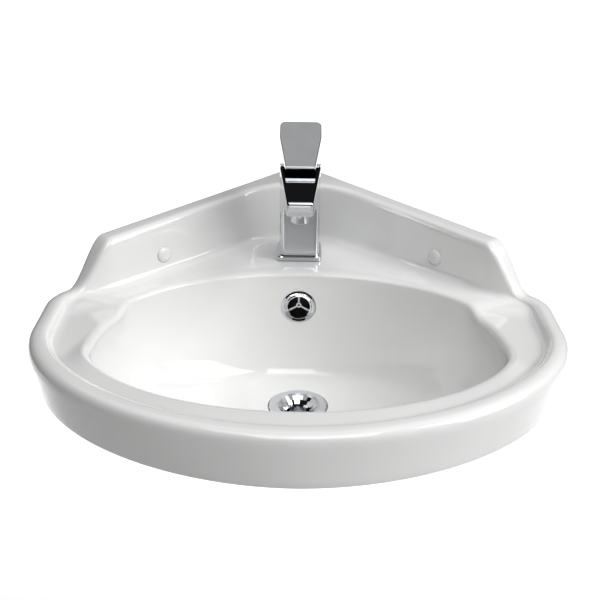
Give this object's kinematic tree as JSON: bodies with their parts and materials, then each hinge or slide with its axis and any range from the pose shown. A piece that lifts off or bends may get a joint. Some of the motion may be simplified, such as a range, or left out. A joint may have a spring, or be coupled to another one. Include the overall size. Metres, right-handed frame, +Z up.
{
  "type": "corner basin",
  "caption": "Wall-hung corner basin in glazed ceramic with raised upstands, soap trays, overflow and waste, and a square single-lever mixer tap.",
  "frame": {"origin": "where the two walls of the room corner meet, at the height of the tap deck", "axes": "+Z up, the walls run back along x = y and x = -y, the room is towards -Y, +X to the right of someone standing at the basin"},
  "size_m": [0.5204, 0.511, 0.3683],
  "materials": {
    "glazed_ceramic": "gloss glaze",
    "chrome": "polished chrome plate",
    "brass": "machined",
    "steel": "zinc plated",
    "rubber": "matt",
    "white_plastic": "moulded",
    "disc_ceramic": "lapped"
  },
  "bodies": {
    "basin_and_tap": {"aerator_housing": "chrome", "aerator_insert": "white_plastic", "aerator_washer": "rubber", "basin": "glazed_ceramic", "cartridge_base": "white_plastic", "cartridge_cover": "chrome", "cartridge_housing": "white_plastic", "cartridge_nut": "brass", "cartridge_port_seals": "rubber", "fixed_disc": "disc_ceramic", "fixing_nut": "brass", "fixing_stud": "brass", "horseshoe_plate": "steel", "horseshoe_rubber": "rubber", "overflow_ring": "chrome", "overflow_spider": "chrome", "screw_cap_left": "white_plastic", "screw_cap_right": "white_plastic", "screw_collar_left": "white_plastic", "screw_collar_right": "white_plastic", "tap_base_gasket": "rubber", "tap_base_plate": "chrome", "tap_body": "chrome", "wall_screw_left": "steel", "wall_screw_right": "steel", "waste_backnut": "brass", "waste_body": "chrome", "waste_bottom_seal": "rubber", "waste_top_seal": "rubber"},
    "swivel_carrier": {"cartridge_carrier": "white_plastic", "stem_pivot_pin": "steel"},
    "lever": {"tap_lever": "chrome", "lever_grub_screw": "steel", "lever_index_plug": "white_plastic", "cartridge_stem": "steel"},
    "disc_slider": {"moving_disc": "disc_ceramic"}
  },
  "joints": [
    {"name": "lever_swivel", "type": "hinge", "parent": "basin_and_tap", "child": "swivel_carrier", "pos_m": [0, -0.133, 0.096], "axis": [0, 0, 1], "range_deg": [-50, 50]},
    {"name": "lever_lift", "type": "hinge", "parent": "swivel_carrier", "child": "lever", "pos_m": [0, -0.133, 0.096], "axis": [-1, 0, 0], "range_deg": [0, 22]},
    {"name": "disc_slide", "type": "slide", "parent": "swivel_carrier", "child": "disc_slider", "axis": [0, -1, 0], "range_m": [0, 0.00458]}
  ],
  "couplings": [
    {"joint": "disc_slide", "follows": "lever_lift", "m_per_rad": 0.011926}
  ]
}
